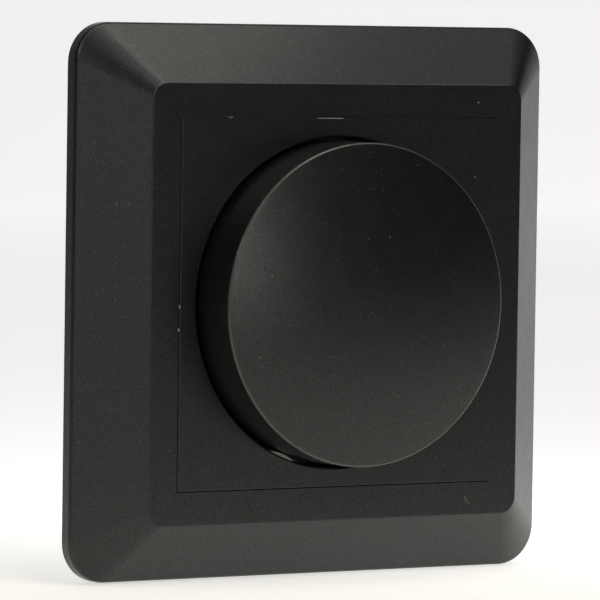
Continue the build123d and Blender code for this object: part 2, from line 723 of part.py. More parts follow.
with BuildPart() as rear_housing:
    with BuildSketch(level(back)):
        body_outline(0)
    extrude(amount=board_front - back)
    with BuildSketch(level(board_rear)):
        body_outline(BOARD_INSET - BOARD_ROOM)
    extrude(amount=BOARD_THICKNESS, mode=Mode.SUBTRACT)
    with BuildSketch(level(back_inside)):
        body_outline(rear_inset)
        with Locations(*post_spots):
            Circle(POST_RADIUS, mode=Mode.SUBTRACT)
    extrude(amount=component_room, mode=Mode.SUBTRACT)
    with BuildSketch(level(back)):
        with Locations(*terminal_spots):
            Rectangle(ENTRY_WIDTH, ENTRY_HEIGHT)
    extrude(amount=HOUSING_BACK, mode=Mode.SUBTRACT)
    with BuildSketch(level(back)):
        with Locations(*post_spots):
            Circle(SCREW_RADIUS + SCREW_FIT)
    extrude(amount=board_rear - back, mode=Mode.SUBTRACT)
    with BuildSketch(level(back)):
        with Locations(*post_spots):
            Circle(SCREW_HEAD_RADIUS + SCREW_FIT)
    extrude(amount=SCREW_HEAD + SCREW_FIT, mode=Mode.SUBTRACT)
    with BuildSketch(Plane.XY.offset(-HOUSING_SIZE / 2)):
        with Locations(*clamp_spots):
            Circle(CLAMP_HEAD_RADIUS + CLAMP_ROOM)
    extrude(amount=rear_inset + CLAMP_ROOM, mode=Mode.SUBTRACT)
rear_housing.part.label = "rear_housing"
export_step(rear_housing.part, "parts/rear_housing.step")

# Long screws that close the insert
with BuildPart() as housing_screws:
    with BuildSketch(level(back + SCREW_FIT)):
        with Locations(*post_spots):
            Circle(SCREW_HEAD_RADIUS)
    extrude(amount=SCREW_HEAD)
    with BuildSketch(level(back + SCREW_FIT)):
        with Locations(*post_spots):
            Circle(SCREW_RADIUS)
    extrude(amount=board_front + SCREW_BITE - back - SCREW_FIT)
    with BuildSketch(level(back + SCREW_FIT)):
        with Locations(*post_spots):
            Rectangle(2 * SCREW_HEAD_RADIUS, SCREW_SLOT)
    extrude(amount=SCREW_HEAD / 2, mode=Mode.SUBTRACT)
housing_screws.part.label = "housing_screws"
export_step(housing_screws.part, "parts/housing_screws.step")

# Circuit board
with BuildPart() as circuit_board:
    with BuildSketch(level(board_rear)):
        body_outline(BOARD_INSET)
        with Locations(*post_spots):
            Circle(SCREW_RADIUS + 2 * SCREW_FIT, mode=Mode.SUBTRACT)
        with PolarLocations(PIN_CIRCLE, PIN_COUNT, 270 - PIN_STEP, PIN_COUNT * PIN_STEP):
            Circle(PIN_RADIUS + PIN_FIT, mode=Mode.SUBTRACT)
        with Locations((CONTACT_SPREAD, 0), (-CONTACT_SPREAD, 0)):
            Circle(PIN_RADIUS + PIN_FIT, mode=Mode.SUBTRACT)
    extrude(amount=BOARD_THICKNESS)
circuit_board.part.label = "circuit_board"
export_step(circuit_board.part, "parts/circuit_board.step")

# Power transistors in front of the board and the plate that takes their heat
with BuildPart() as power_transistors:
    with BuildSketch(level(board_front)):
        with Locations((transistor_offset, 0), (-transistor_offset, 0)):
            Rectangle(transistor_width, TRANSISTOR_LENGTH)
    extrude(amount=TRANSISTOR_HEIGHT)
    with BuildSketch(level(board_front)):
        with Locations((transistor_offset, 0), (-transistor_offset, 0)):
            with GridLocations(transistor_width / 2, TRANSISTOR_LENGTH, 2, 2):
                Rectangle(LEAD_WIDTH, LEAD_LENGTH)
    extrude(amount=LEAD_HEIGHT)
power_transistors.part.label = "power_transistors"
export_step(power_transistors.part, "parts/power_transistors.step")

with BuildPart() as heat_spreader:
    with BuildSketch(level(transistor_front)):
        body_outline(HOUSING_WALL + SPREADER_ROOM)
        Rectangle(2 * transistor_edge, SPREADER_WIDTH, mode=Mode.INTERSECT)
        Circle(case_radius + SPREADER_ROOM, mode=Mode.SUBTRACT)
        with Locations(*post_spots):
            Circle(POST_RADIUS + SPREADER_ROOM, mode=Mode.SUBTRACT)
    extrude(amount=SPREADER_THICKNESS)
heat_spreader.part.label = "heat_spreader"
export_step(heat_spreader.part, "parts/heat_spreader.step")

# Ring core of the choke and the turns of wire round it
with BuildPart() as choke_core:
    with BuildSketch(level(choke_front - CHOKE_HEIGHT)):
        with Locations((choke_x, choke_z)):
            Circle(choke_outer)
            Circle(choke_inner, mode=Mode.SUBTRACT)
    extrude(amount=CHOKE_HEIGHT)
choke_core.part.label = "choke_core"
export_step(choke_core.part, "parts/choke_core.step")

turn_angles = [2 * math.pi * i / TURN_COUNT for i in range(TURN_COUNT)]
turn_planes = [
    Plane(
        origin=(choke_x, 0, choke_z),
        x_dir=(math.cos(a), 0, math.sin(a)),
        z_dir=(math.sin(a), 0, -math.cos(a)),
    )
    for a in turn_angles
]
turn_middle = ((choke_outer + choke_inner) / 2, choke_front - CHOKE_HEIGHT / 2)
turn_width = choke_outer - choke_inner + 2 * WIRE_ROOM
turn_height = CHOKE_HEIGHT + 2 * WIRE_ROOM
with BuildPart() as choke_winding:
    with BuildSketch(*turn_planes):
        with Locations(turn_middle):
            Rectangle(turn_width + 2 * WIRE, turn_height + 2 * WIRE)
            Rectangle(turn_width, turn_height, mode=Mode.SUBTRACT)
    extrude(amount=WIRE / 2, both=True)
choke_winding.part.label = "choke_winding"
export_step(choke_winding.part, "parts/choke_winding.step")

# Capacitors and control chip
with BuildPart() as film_capacitor:
    with BuildSketch(level(board_rear - FILM_HEIGHT)):
        with Locations((film_x, film_z)):
            RectangleRounded(film_length, film_width, FILM_CORNER)
    extrude(amount=FILM_HEIGHT)
film_capacitor.part.label = "film_capacitor"
export_step(film_capacitor.part, "parts/film_capacitor.step")

with BuildPart() as electrolytic_capacitor:
    with BuildSketch(level(board_rear - CAN_HEIGHT)):
        with Locations((-CAN_OFFSET, can_z)):
            Circle(CAN_RADIUS)
    extrude(amount=CAN_HEIGHT)
    chamfer(edges().sort_by(Axis.Y)[-1], CAN_EDGE)
electrolytic_capacitor.part.label = "electrolytic_capacitor"
export_step(electrolytic_capacitor.part, "parts/electrolytic_capacitor.step")

with BuildPart() as control_chip:
    with BuildSketch(level(board_front)):
        with Locations((0, chip_z)):
            Rectangle(CHIP_LENGTH, CHIP_WIDTH)
    extrude(amount=CHIP_HEIGHT)
    with BuildSketch(level(board_front)):
        with Locations((0, chip_z)):
            with GridLocations(CHIP_PITCH, CHIP_WIDTH, CHIP_SIDE_LEADS, 2):
                Rectangle(CHIP_LEAD, 2 * CHIP_PITCH)
    extrude(amount=CHIP_HEIGHT / 2)
control_chip.part.label = "control_chip"
export_step(control_chip.part, "parts/control_chip.step")

# Fuse with its caps and holders
with BuildPart() as fuse_tube:
    with BuildSketch(Plane.YZ.offset(FUSE_CAP_WALL - FUSE_LENGTH / 2)):
        with Locations((-fuse_level, fuse_z)):
            Circle(FUSE_RADIUS)
    extrude(amount=FUSE_LENGTH - 2 * FUSE_CAP_WALL)
fuse_tube.part.label = "fuse_tube"
export_step(fuse_tube.part, "parts/fuse_tube.step")

with BuildPart() as fuse_caps:
    with BuildSketch(Plane.YZ.offset(-FUSE_LENGTH / 2)):
        with Locations((-fuse_level, fuse_z)):
            Circle(cap_radius)
    extrude(amount=FUSE_LENGTH)
    with BuildSketch(Plane.YZ.offset(FUSE_CAP_WALL - FUSE_LENGTH / 2)):
        with Locations((-fuse_level, fuse_z)):
            Circle(FUSE_RADIUS)
    extrude(amount=FUSE_LENGTH - 2 * FUSE_CAP_WALL, mode=Mode.SUBTRACT)
    with BuildSketch(Plane.YZ.offset(FUSE_CAP - FUSE_LENGTH / 2)):
        with Locations((-fuse_level, fuse_z)):
            Circle(2 * cap_radius)
    extrude(amount=FUSE_LENGTH - 2 * FUSE_CAP, mode=Mode.SUBTRACT)
fuse_caps.part.label = "fuse_caps"
export_step(fuse_caps.part, "parts/fuse_caps.step")

holder_offset = (FUSE_LENGTH - FUSE_CAP) / 2
holder_height = FUSE_RISE + cap_radius / 2
with BuildPart() as fuse_clips:
    with BuildSketch(level(board_rear - holder_height)):
        with Locations((holder_offset, fuse_z), (-holder_offset, fuse_z)):
            Rectangle(HOLDER_LENGTH, 2 * (cap_radius + HOLDER_WALL))
    extrude(amount=holder_height)
    with BuildSketch(Plane.YZ.offset(-FUSE_LENGTH)):
        with Locations((-fuse_level, fuse_z)):
            Circle(cap_radius + HOLDER_FIT)
    extrude(amount=2 * FUSE_LENGTH, mode=Mode.SUBTRACT)
fuse_clips.part.label = "fuse_clips"
export_step(fuse_clips.part, "parts/fuse_clips.step")

# Terminal cages and their clamp screws
with BuildPart() as terminal_cages:
    with BuildSketch(level(back_inside)):
        with Locations(*terminal_spots):
            Rectangle(cage_width, CAGE_DEPTH)
    extrude(amount=component_room)
    with BuildSketch(level(back_inside)):
        with Locations(*terminal_spots):
            Rectangle(ENTRY_WIDTH, ENTRY_HEIGHT)
    extrude(amount=ENTRY_DEPTH, mode=Mode.SUBTRACT)
    with BuildSketch(Plane.XY.offset(cage_bottom)):
        with Locations(*clamp_spots):
            Circle(CLAMP_RADIUS + CLAMP_FIT)
    extrude(amount=entry_bottom - cage_bottom, mode=Mode.SUBTRACT)
terminal_cages.part.label = "terminal_cages"
export_step(terminal_cages.part, "parts/terminal_cages.step")

with BuildPart() as terminal_screws:
    with BuildSketch(Plane.XY.offset(cage_bottom - CLAMP_HEAD)):
        with Locations(*clamp_spots):
            Circle(CLAMP_HEAD_RADIUS)
    extrude(amount=CLAMP_HEAD)
    with BuildSketch(Plane.XY.offset(cage_bottom)):
        with Locations(*clamp_spots):
            Circle(CLAMP_RADIUS)
    extrude(amount=entry_bottom - cage_bottom)
    with BuildSketch(Plane.XY.offset(cage_bottom - CLAMP_HEAD)):
        with Locations(*clamp_spots):
            Rectangle(2 * CLAMP_HEAD_RADIUS, CLAMP_SLOT)
    extrude(amount=CLAMP_HEAD / 2, mode=Mode.SUBTRACT)
terminal_screws.part.label = "terminal_screws"
export_step(terminal_screws.part, "parts/terminal_screws.step")
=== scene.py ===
import math
import bmesh
import bpy
from mathutils import Matrix, Vector


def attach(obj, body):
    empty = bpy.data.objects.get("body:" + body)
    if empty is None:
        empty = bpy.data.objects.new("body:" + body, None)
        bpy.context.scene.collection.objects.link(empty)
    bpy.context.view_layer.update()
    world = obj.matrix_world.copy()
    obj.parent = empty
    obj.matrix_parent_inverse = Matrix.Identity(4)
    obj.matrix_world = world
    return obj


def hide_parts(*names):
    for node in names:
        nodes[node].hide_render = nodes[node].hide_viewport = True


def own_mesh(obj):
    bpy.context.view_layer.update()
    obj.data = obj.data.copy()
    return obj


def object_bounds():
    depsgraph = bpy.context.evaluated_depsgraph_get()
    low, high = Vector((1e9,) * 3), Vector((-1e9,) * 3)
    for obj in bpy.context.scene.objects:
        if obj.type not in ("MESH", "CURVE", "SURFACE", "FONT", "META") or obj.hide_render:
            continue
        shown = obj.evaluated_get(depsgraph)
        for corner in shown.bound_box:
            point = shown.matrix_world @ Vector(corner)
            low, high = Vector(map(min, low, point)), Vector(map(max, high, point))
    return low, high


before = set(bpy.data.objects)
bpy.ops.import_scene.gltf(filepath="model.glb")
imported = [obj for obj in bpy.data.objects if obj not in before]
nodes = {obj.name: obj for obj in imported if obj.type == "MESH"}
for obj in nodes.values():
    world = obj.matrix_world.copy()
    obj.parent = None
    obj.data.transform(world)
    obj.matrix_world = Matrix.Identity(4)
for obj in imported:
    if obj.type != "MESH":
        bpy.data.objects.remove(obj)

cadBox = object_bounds()
mm = 0.001
noiseSpan = (0.3, 0.7)                  # most of a noise lies between these
colourA, colourB, colourOut = 6, 7, 2   # sockets of a Mix node that mixes colours
valueA, valueB = 2, 3                   # and of one that mixes values
print("frame loaded:", len(nodes), "nodes")


def linear(hexColour):  # sRGB hex to linear, with alpha 1
    out = []
    for i in (1, 3, 5):
        c = int(hexColour[i:i + 2], 16) / 255
        out.append(c / 12.92 if c <= 0.04045 else ((c + 0.055) / 1.055) ** 2.4)
    return (*out, 1.0)


def addNode(tree, kind, settings=None, links=None):  # one node with its values and what feeds it
    node = tree.nodes.new(kind)
    for key, value in (settings or {}).items():
        if isinstance(key, str) and hasattr(node, key):
            setattr(node, key, value)
        else:
            node.inputs[key].default_value = value
    for key, source in (links or {}).items():
        tree.links.new(source, node.inputs[key])
    return node


def startMaterial(name):
    mat = bpy.data.materials.new(name)
    mat.use_nodes = True
    tree = mat.node_tree
    tree.nodes.clear()
    where = addNode(tree, "ShaderNodeTexCoord").outputs["Object"]
    return mat, tree, where


def coat(mat, *names):  # puts the finish in the node's own slot
    for name in names:
        mesh = nodes[name].data
        mesh.materials.clear()
        mesh.materials.append(mat)


# Polycarbonate moulded in a spark-eroded tool, black through and through:
# satin, with a fine grain that breaks the light into pin-prick glints
satinBlack = {
    "colour": "#100f0f",
    "fleck": "#57524c",           # grains that catch the light
    "dust": "#8f8a84",
    "roughness": 0.30,
    "roughnessSpread": 0.02,      # either way, by the mottle
    "ior": 1.5,
    "specular": 0.5,
    "grainGlint": 0.2,            # how much a grain may add to or take from the specular level
    "grainSize": 0.15,            # mm; the real grit is about 0.05, drawn coarser so that it shows
    "grainDetail": 1.0,
    "grainDepth": 0.004,          # mm
    "grainStrength": 0.5,
    "mottleSize": 3.0,            # mm
    "mottleDetail": 3.0,
    "fleckSize": 0.42,            # mm between grains that may glint
    "fleckShare": 0.16,
    "fleckFade": (0.45, 0.15),    # shares of fleckSize, from a fleck's edge to its full tone
    "dustSpacing": 6.0,           # mm
    "dustShare": 0.10,
    "dustFade": (0.03, 0.012),    # shares of dustSpacing
}


def makeSatinBlack(name, look):
    mat, tree, where = startMaterial(name)
    grain = addNode(tree, "ShaderNodeTexNoise", {
        "Scale": 1 / (look["grainSize"] * mm), "Detail": look["grainDetail"]}, {"Vector": where})
    mottle = addNode(tree, "ShaderNodeTexNoise", {
        "Scale": 1 / (look["mottleSize"] * mm), "Detail": look["mottleDetail"]}, {"Vector": where})
    # flecks: some of the cells, each with a spot in its middle
    cells = addNode(tree, "ShaderNodeTexVoronoi", {
        "Scale": 1 / (look["fleckSize"] * mm)}, {"Vector": where})
    picked = addNode(tree, "ShaderNodeMapRange", {
        "From Min": 1 - look["fleckShare"], "From Max": 1.0}, {"Value": cells.outputs["Color"]})
    near = addNode(tree, "ShaderNodeMapRange", {
        "From Min": look["fleckFade"][0], "From Max": look["fleckFade"][1]}, {
        "Value": cells.outputs["Distance"]})
    fleck = addNode(tree, "ShaderNodeMath", {"operation": "MULTIPLY"}, {
        0: picked.outputs["Result"], 1: near.outputs["Result"]})
    # dust: fewer and wider cells
    spots = addNode(tree, "ShaderNodeTexVoronoi", {
        "Scale": 1 / (look["dustSpacing"] * mm)}, {"Vector": where})
    spotPicked = addNode(tree, "ShaderNodeMath", {
        "operation": "GREATER_THAN", 1: 1 - look["dustShare"]}, {0: spots.outputs["Color"]})
    spotNear = addNode(tree, "ShaderNodeMapRange", {
        "From Min": look["dustFade"][0], "From Max": look["dustFade"][1]}, {
        "Value": spots.outputs["Distance"]})
    dust = addNode(tree, "ShaderNodeMath", {"operation": "MULTIPLY"}, {
        0: spotPicked.outputs[0], 1: spotNear.outputs["Result"]})
    tint = addNode(tree, "ShaderNodeMix", {
        "data_type": "RGBA", colourA: linear(look["colour"]), colourB: linear(look["fleck"])}, {
        0: fleck.outputs[0]})
    worn = addNode(tree, "ShaderNodeMix", {"data_type": "RGBA", colourB: linear(look["dust"])}, {
        0: dust.outputs[0], colourA: tint.outputs[colourOut]})
    gloss = addNode(tree, "ShaderNodeMapRange", {
        "From Min": noiseSpan[0], "From Max": noiseSpan[1],
        "To Min": look["roughness"] - look["roughnessSpread"],
        "To Max": look["roughness"] + look["roughnessSpread"]}, {"Value": mottle.outputs["Fac"]})
    bump = addNode(tree, "ShaderNodeBump", {
        "Strength": look["grainStrength"], "Distance": look["grainDepth"] * mm}, {
        "Height": grain.outputs["Fac"]})
    glint = addNode(tree, "ShaderNodeMapRange", {
        "From Min": noiseSpan[0], "From Max": noiseSpan[1],
        "To Min": look["specular"] - look["grainGlint"],
        "To Max": look["specular"] + look["grainGlint"]}, {"Value": grain.outputs["Fac"]})
    shader = addNode(tree, "ShaderNodeBsdfPrincipled", {"IOR": look["ior"]}, {
        "Base Color": worn.outputs[colourOut], "Roughness": gloss.outputs["Result"],
        "Normal": bump.outputs["Normal"], "Specular IOR Level": glint.outputs["Result"]})
    addNode(tree, "ShaderNodeOutputMaterial", None, {"Surface": shader.outputs["BSDF"]})
    return mat


satinMaterial = makeSatinBlack("satinBlackPolycarbonate", satinBlack)
# The same plastic, drawn greyer and glossier on the knob's edge: a painted highlight, a thin greyer line
# along the rim
rimHighlightLook = {**satinBlack, "colour": "#3a3836", "roughness": 0.20}
rimHighlightMaterial = makeSatinBlack("paintedRimHighlightPolycarbonate", rimHighlightLook)
coat(satinMaterial, "surround_frame", "centre_plate", "knob")

# Inside finishes: two tones mixed by a noise of real size, with lines where a tool or a roller left them.
# size is in mm, stretch makes the noise longer along x, y and z, depth is the relief in mm
finishes = {
    # zinc plate, blue passivated: cool grey with cloudy brighter patches
    "zincPlatedSteel": {
        "nodes": ("bush_washer", "support_screws", "housing_screws", "terminal_screws", "support_frame"),
        "colour": "#b4b9bf", "shade": "#a0a6ad", "metallic": 1.0, "roughness": (0.30, 0.42),
        "size": 1.8, "depth": 0.002},
    # nickel on stamped brass: warm bright silver, faint drawing lines
    "nickelPlatedBrass": {
        "nodes": ("bush_nut", "terminal_cages", "fuse_caps"),
        "colour": "#cfc8ba", "shade": "#a9a294", "metallic": 1.0, "roughness": (0.16, 0.30),
        "size": 0.35, "stretch": (1, 12, 1), "depth": 0.002},
    # brass off the lathe: yellow metal with fine rings round the axis
    "turnedBrass": {
        "nodes": ("bush", "shaft"),
        "colour": "#d8b35e", "shade": "#b08a3e", "metallic": 1.0, "roughness": (0.18, 0.34),
        "size": 0.16, "stretch": (40, 1, 40), "depth": 0.004},
    # hard-drawn spring wire, oil tempered: dark blue-grey with lengthwise streaks
    "temperedSpringSteel": {
        "nodes": ("knob_clip", "shaft_clip", "return_spring"),
        "colour": "#7d8086", "shade": "#4e525a", "metallic": 1.0, "roughness": (0.25, 0.42),
        "size": 0.3, "stretch": (6, 1, 6), "depth": 0.002},
    # rolled bronze strip: reddish gold with rolling lines
    "rolledPhosphorBronze": {
        "nodes": ("wiper",),
        "colour": "#c98d58", "shade": "#9c6439", "metallic": 1.0, "roughness": (0.22, 0.36),
        "size": 0.25, "stretch": (10, 1, 1), "depth": 0.002},
    # silver electroplate: white metal, a little yellow where it has tarnished
    "silverPlatedBronze": {
        "nodes": ("contact_bridge",),
        "colour": "#e6e2da", "shade": "#bfae8c", "metallic": 1.0, "roughness": (0.15, 0.32),
        "size": 1.2, "depth": 0.001},
    # hot-dipped tin: soft grey with a wavy skin
    "tinnedBrass": {
        "nodes": ("fixed_contacts", "pot_pins", "fuse_clips"),
        "colour": "#c4c5c3", "shade": "#9fa09d", "metallic": 1.0, "roughness": (0.24, 0.44),
        "size": 0.8, "depth": 0.01},
    # mill-rolled aluminium sheet: pale, brushed along one way
    "rolledAluminium": {
        "nodes": ("heat_spreader",),
        "colour": "#c9cbcd", "shade": "#a3a6a9", "metallic": 1.0, "roughness": (0.26, 0.44),
        "size": 0.2, "stretch": (30, 1, 1), "depth": 0.003},
    # glass-filled nylon, injection moulded: black, dull, with grey fibre flow marks
    "glassFilledNylon": {
        "nodes": ("pot_case", "pot_base"),
        "colour": "#1a1a1b", "shade": "#2b2b2d", "roughness": (0.42, 0.60),
        "size": 0.5, "stretch": (1, 4, 1), "depth": 0.006},
    # acetal, injection moulded: off-white and waxy
    "mouldedAcetal": {
        "nodes": ("rotor", "push_plunger"),
        "colour": "#e8e4d8", "shade": "#d9d3c2", "roughness": (0.32, 0.44),
        "size": 4.0, "depth": 0.002, "ior": 1.48},
    # carbon ink, screen printed: soft black with a grainy skin
    "printedCarbonInk": {
        "nodes": ("resistive_track",),
        "colour": "#161513", "shade": "#262523", "roughness": (0.48, 0.66),
        "size": 0.15, "depth": 0.004},
    # phenolic paper, pressed: brown with paper clouds
    "pressedPhenolicPaper": {
        "nodes": ("track_wafer",),
        "colour": "#8a5a2c", "shade": "#6b421d", "roughness": (0.36, 0.52),
        "size": 2.2, "depth": 0.002, "ior": 1.6},
    # urea thermoset, compression moulded: light grey, even, faint filler specks
    "mouldedUreaThermoset": {
        "nodes": ("front_housing", "rear_housing"),
        "colour": "#a7a9a8", "shade": "#989a99", "roughness": (0.38, 0.54),
        "size": 0.45, "depth": 0.006, "ior": 1.55},
    # photo-imaged solder mask over glass cloth: green with a fine weave under it
    "greenSolderMask": {
        "nodes": ("circuit_board",),
        "colour": "#1f6a3c", "shade": "#17552f", "roughness": (0.20, 0.34),
        "size": 0.5, "stretch": (1, 1, 3), "depth": 0.005},
    # epoxy mould compound, transfer moulded: charcoal with a shot-blasted tool skin
    "transferMouldedEpoxy": {
        "nodes": ("power_transistors", "control_chip"),
        "colour": "#1d1d1f", "shade": "#2a2a2b", "roughness": (0.46, 0.62),
        "size": 0.12, "depth": 0.006},
    # powder core under an epoxy coat: mustard yellow, orange-peel skin
    "epoxyCoatedIronPowder": {
        "nodes": ("choke_core",),
        "colour": "#d0a52a", "shade": "#b78d1d", "roughness": (0.30, 0.44),
        "size": 0.7, "depth": 0.02},
    # drawn copper under clear enamel: red-brown metal, smooth
    "enamelledCopper": {
        "nodes": ("choke_winding",),
        "colour": "#b5623a", "shade": "#8c4424", "metallic": 1.0, "roughness": (0.18, 0.30),
        "size": 0.6, "stretch": (1, 3, 1), "depth": 0.002},
    # polyester case, injection moulded: yellow with a slight sheen
    "mouldedPolyester": {
        "nodes": ("film_capacitor",),
        "colour": "#d8b23c", "shade": "#cba22f", "roughness": (0.34, 0.46),
        "size": 0.6, "depth": 0.004},
    # vinyl sleeve, heat shrunk: blue-black, slack ripples along the can
    "shrunkVinylSleeve": {
        "nodes": ("electrolytic_capacitor",),
        "colour": "#1c2230", "shade": "#262d3d", "roughness": (0.24, 0.38),
        "size": 1.0, "stretch": (1, 6, 1), "depth": 0.02},
    # drawn glass tube: clear, faint finger smears
    "drawnGlass": {
        "nodes": ("fuse_tube",),
        "colour": "#f4f8f6", "shade": "#e9f0ec", "roughness": (0.0, 0.06),
        "size": 1.5, "depth": 0.001, "ior": 1.52, "clear": 1.0},
}
# what a finish has unless its own row says otherwise
usualFinish = {
    "metallic": 0.0, "stretch": (1, 1, 1), "ior": 1.5, "clear": 0.0, "detail": 4.0, "relief": 0.6,
}


def makeFinish(name, ownLook):
    look = {**usualFinish, **ownLook}
    mat, tree, where = startMaterial(name)
    placed = addNode(tree, "ShaderNodeMapping", {
        "Scale": [1 / (look["size"] * mm * s) for s in look["stretch"]]}, {"Vector": where})
    noise = addNode(tree, "ShaderNodeTexNoise", {"Scale": 1.0, "Detail": look["detail"]}, {
        "Vector": placed.outputs["Vector"]})
    tone = addNode(tree, "ShaderNodeMapRange", {
        "From Min": noiseSpan[0], "From Max": noiseSpan[1]}, {"Value": noise.outputs["Fac"]})
    tint = addNode(tree, "ShaderNodeMix", {
        "data_type": "RGBA", colourA: linear(look["colour"]), colourB: linear(look["shade"])}, {
        0: tone.outputs["Result"]})
    gloss = addNode(tree, "ShaderNodeMapRange", {
        "To Min": look["roughness"][0], "To Max": look["roughness"][1]}, {"Value": tone.outputs["Result"]})
    bump = addNode(tree, "ShaderNodeBump", {
        "Strength": look["relief"], "Distance": look["depth"] * mm}, {"Height": noise.outputs["Fac"]})
    shader = addNode(tree, "ShaderNodeBsdfPrincipled", {
        "Metallic": look["metallic"], "IOR": look["ior"], "Transmission Weight": look["clear"]}, {
        "Base Color": tint.outputs[colourOut], "Roughness": gloss.outputs["Result"],
        "Normal": bump.outputs["Normal"]})
    addNode(tree, "ShaderNodeOutputMaterial", None, {"Surface": shader.outputs["BSDF"]})
    return mat


for name, look in finishes.items():
    coat(makeFinish(name, look), *look["nodes"])
print("finishes on")

# Knob: moulded cap with a shallow dome, lengths in mm and levels in front of the wall
knobLook = {
    "radius": 23.9, "rim": 17.8, "dome": 2.4, "edge": 0.35, "bottom": 8.0,
    "sideWall": 2.0, "topWall": 2.2, "hubRadius": 5.2, "boreRadius": 3.05, "hubBottom": 8.2,
    "ribCount": 6, "ribWidth": 1.2, "ribHeight": 3.0,
    "ribDrop": 0.3,       # top of the ribs below the rim
    "ribBite": 0.3,       # how far a rib runs into the hub, and past the middle of the skirt
    "steps": 240, "faceRings": 20, "edgeRings": 10, "ceilingRings": 8,
    "sharpAngle": 30,     # degrees
}


def knobProfile(k):
    ball = (k["radius"] ** 2 + k["dome"] ** 2) / (2 * k["dome"])
    centre = k["rim"] + k["dome"] - ball
    # the edge arc touches the ball from inside and the side from inside
    edgeAxis = k["radius"] - k["edge"]
    edgeLevel = centre + math.sqrt((ball - k["edge"]) ** 2 - edgeAxis ** 2)
    start = math.asin(edgeAxis / (ball - k["edge"]))
    outer = []
    for i in range(k["faceRings"] + 1):
        a = start * i / k["faceRings"]
        outer.append((ball * math.sin(a), centre + ball * math.cos(a)))
    for i in range(1, k["edgeRings"] + 1):
        a = start + (math.pi / 2 - start) * i / k["edgeRings"]
        outer.append((edgeAxis + k["edge"] * math.sin(a), edgeLevel + k["edge"] * math.cos(a)))
    inside = k["radius"] - k["sideWall"]
    under = ball - k["topWall"]
    ceiling = []
    for i in range(k["ceilingRings"] + 1):
        r = inside + (k["hubRadius"] - inside) * i / k["ceilingRings"]
        ceiling.append((r, centre + math.sqrt(under ** 2 - r ** 2)))
    boreTop = k["rim"] + k["dome"] - k["topWall"]
    skirt = [(k["radius"], k["bottom"]), (inside, k["bottom"])]
    hub = [(k["hubRadius"], k["hubBottom"]), (k["boreRadius"], k["hubBottom"])]
    return outer + skirt + ceiling + hub + [(k["boreRadius"], boreTop), (0, boreTop)]


def makeKnob(k):
    bm = bmesh.new()
    rows = []
    angles = [2 * math.pi * i / k["steps"] for i in range(k["steps"])]
    for r, d in knobProfile(k):
        if r == 0:
            rows.append([bm.verts.new((0, -d * mm, 0))] * k["steps"])
            continue
        rows.append([bm.verts.new((r * mm * math.cos(a), -d * mm, r * mm * math.sin(a))) for a in angles])
    for n, (one, two) in enumerate(zip(rows, rows[1:])):
        for i in range(k["steps"]):
            j = (i + 1) % k["steps"]
            corners = list(dict.fromkeys((one[i], one[j], two[j], two[i])))  # three at the axis
            face = bm.faces.new(corners)
            face.material_index = int(k["faceRings"] <= n < k["faceRings"] + k["edgeRings"])
    # ribs from the hub to the skirt, under the top
    skirtMiddle = k["radius"] - k["sideWall"] / 2
    ribLength = skirtMiddle - k["hubRadius"] + 2 * k["ribBite"]
    ribPlace = Matrix.Translation((
        (k["hubRadius"] + skirtMiddle) / 2 * mm, -(k["rim"] - k["ribDrop"] - k["ribHeight"] / 2) * mm, 0))
    ribSize = Matrix.Diagonal((ribLength * mm, k["ribHeight"] * mm, k["ribWidth"] * mm, 1))
    for n in range(k["ribCount"]):
        spin = Matrix.Rotation(2 * math.pi * n / k["ribCount"], 4, "Y")
        rib = bmesh.ops.create_cube(bm, size=1.0)["verts"]
        bmesh.ops.transform(bm, matrix=spin @ ribPlace @ ribSize, verts=rib)
    bmesh.ops.recalc_face_normals(bm, faces=bm.faces)
    mesh = bpy.data.meshes.new("knobCap")
    bm.to_mesh(mesh)
    bm.free()
    mesh.shade_smooth()
    mesh.set_sharp_from_angle(angle=math.radians(k["sharpAngle"]))
    mesh.materials.append(satinMaterial)
    # the edge rings take this second slot, the painted rim highlight
    mesh.materials.append(rimHighlightMaterial)
    cap = bpy.data.objects.new("knobCap", mesh)
    bpy.context.scene.collection.objects.link(cap)
    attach(cap, "knob")
    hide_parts("knob")


makeKnob(knobLook)
print("knob made")

# Return spring: a copy of the same coil, fixed to the housing (the real one shortens as the plunger comes
# in)
springCoil = bpy.data.objects.new("springCoil", nodes["return_spring"].data.copy())
bpy.context.scene.collection.objects.link(springCoil)
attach(springCoil, "housing")
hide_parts("return_spring")
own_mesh(springCoil)
print("spring made")

# House dust and lint, settled: grey, rough and dry against the black
lintLook = {"colour": "#5e5c59", "shade": "#474543", "roughness": (0.7, 0.9), "size": 0.2, "depth": 0.01}
lintMaterial = makeFinish("greyLint", lintLook)
dustMaterial = makeFinish("paleHouseDust", {**lintLook, "colour": "#82807d", "shade": "#6c6a67"})


def makeRibbon(name, first, second, mat):  # strip between two rows of points, in millimetres
    count = len(first)
    points = [[c * mm for c in p] for p in (*first, *second)]
    quads = [(i, i + 1, count + i + 1, count + i) for i in range(count - 1)]
    mesh = bpy.data.meshes.new(name)
    mesh.from_pydata(points, [], quads)
    mesh.materials.append(mat)
    ribbon = bpy.data.objects.new(name, mesh)
    bpy.context.scene.collection.objects.link(ribbon)
    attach(ribbon, "housing")


